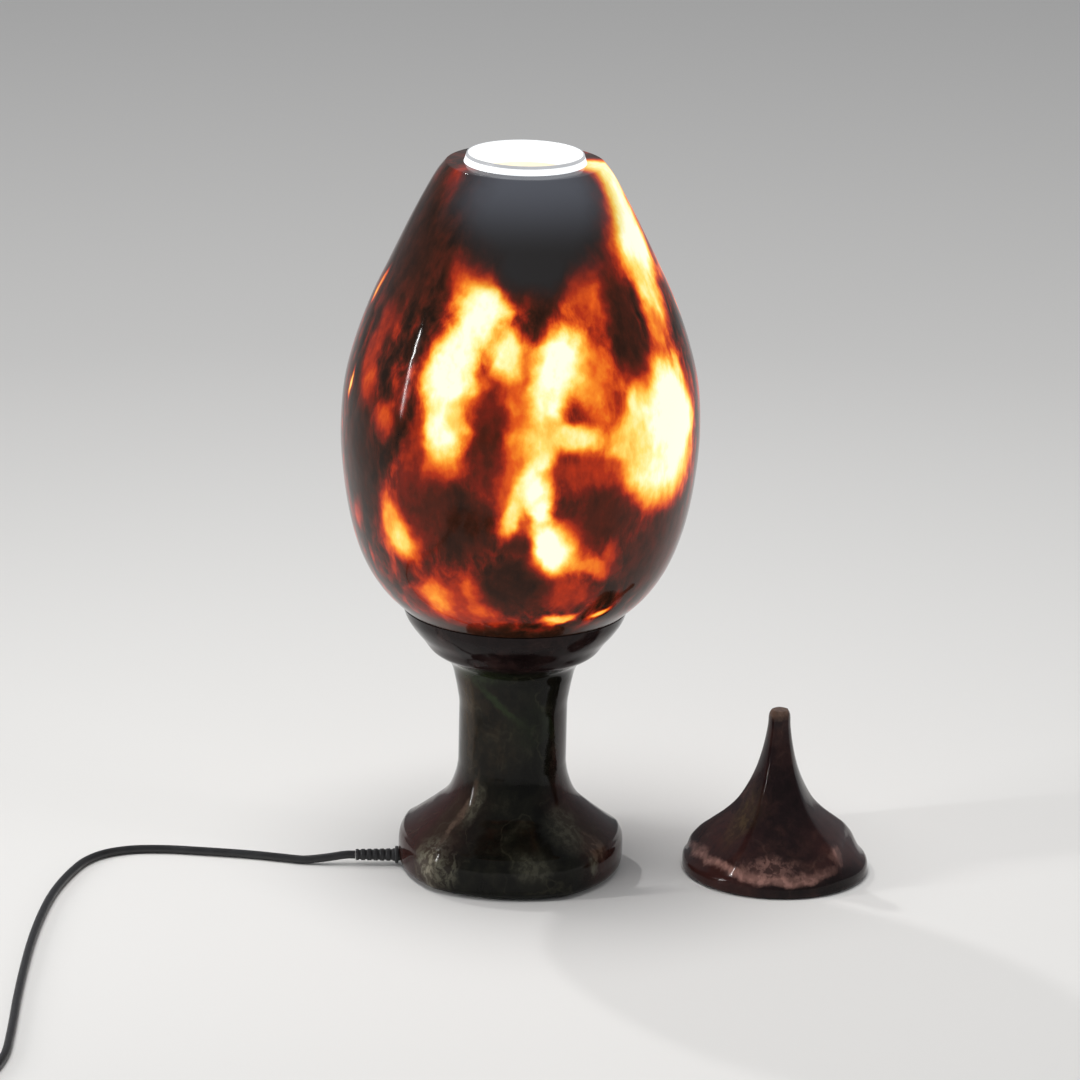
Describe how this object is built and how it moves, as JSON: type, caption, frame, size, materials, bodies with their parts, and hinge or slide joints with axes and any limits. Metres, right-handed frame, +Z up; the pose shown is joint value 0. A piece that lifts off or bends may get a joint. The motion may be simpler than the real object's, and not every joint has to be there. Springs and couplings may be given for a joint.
{
  "type": "marble table lamp",
  "caption": "Table lamp of polished marble: lobed foot and stem, a bowl, a hollow translucent egg shade over a bulb, and a pointed cap standing beside it.",
  "frame": {"origin": "centre of the foot's underside, on the lamp's axis", "axes": "+Z up along the lamp's axis, +X towards the cap that stands beside the lamp, -Y towards the viewer"},
  "size_m": [0.5235, 0.6226, 0.4454],
  "materials": {
    "dark_marble": "polished, near black green brown with grey cream veins",
    "bowl_marble": "polished, near black brown",
    "lit_marble": "polished, translucent red brown, lit from inside in patches",
    "cap_marble": "polished, dark red brown with a pale pink band",
    "felt": "matt felt",
    "steel": "zinc plated",
    "brass": "turned",
    "nickel": "nickel plated",
    "phenolic": "moulded, half gloss",
    "porcelain": "unglazed",
    "bulb_plastic": "moulded",
    "diffuser": "milky, lit cool white",
    "light_board": "white coated board",
    "circuit_board": "green board",
    "cord_rubber": "matt black sheath",
    "live_core": "brown core sheath",
    "neutral_core": "blue core sheath",
    "tie_plastic": "black tie",
    "switch_plastic": "moulded, half gloss",
    "plug_plastic": "moulded"
  },
  "bodies": {
    "lamp_body": {"pedestal": "dark_marble", "shade_bowl": "bowl_marble", "shade": "lit_marble", "base_felt": "felt", "lamp_tube": "steel", "base_washer": "steel", "bowl_washer": "steel", "base_nut": "brass", "bowl_nut": "brass", "holder_cap": "phenolic", "holder_skirt": "phenolic", "holder_insert": "porcelain", "holder_screw_shell": "nickel", "holder_centre_contact": "brass", "holder_side_contact": "brass", "terminal_screw_live": "brass", "terminal_screw_neutral": "brass", "cord_bush": "cord_rubber", "lead_jacket": "cord_rubber", "core_live": "live_core", "core_neutral": "neutral_core", "cord_lamp_side": "cord_rubber", "cord_plug_side": "cord_rubber", "cord_coil": "cord_rubber", "cord_plug_end": "cord_rubber", "cord_tie": "tie_plastic", "switch_base": "switch_plastic", "switch_cover": "switch_plastic", "switch_contact_in": "brass", "switch_contact_out": "brass", "switch_screw_in": "steel", "switch_screw_out": "steel", "plug_body": "plug_plastic", "plug_pin_1": "nickel", "plug_pin_2": "nickel"},
    "cap": {"cap": "cap_marble"},
    "bulb": {"bulb_tip_contact": "nickel", "bulb_insulator": "phenolic", "bulb_screw_cap": "nickel", "bulb_driver_board": "circuit_board", "bulb_housing": "bulb_plastic", "bulb_led_board": "light_board", "bulb_diffuser": "diffuser"},
    "switch_rocker": {"switch_rocker": "switch_plastic"}
  },
  "joints": [
    {"name": "cap_lift", "type": "slide", "parent": "lamp_body", "child": "cap", "axis": [0, 0, 1], "range_m": [0, 0.46]},
    {"name": "bulb_lift", "type": "slide", "parent": "lamp_body", "child": "bulb", "axis": [0, 0, 1], "range_m": [0, 0.26]},
    {"name": "rocker_tilt", "type": "hinge", "parent": "lamp_body", "child": "switch_rocker", "pos_m": [-0.292, -0.435, 0.0141], "axis": [1, 0, 0], "range_deg": [0, 16]}
  ]
}
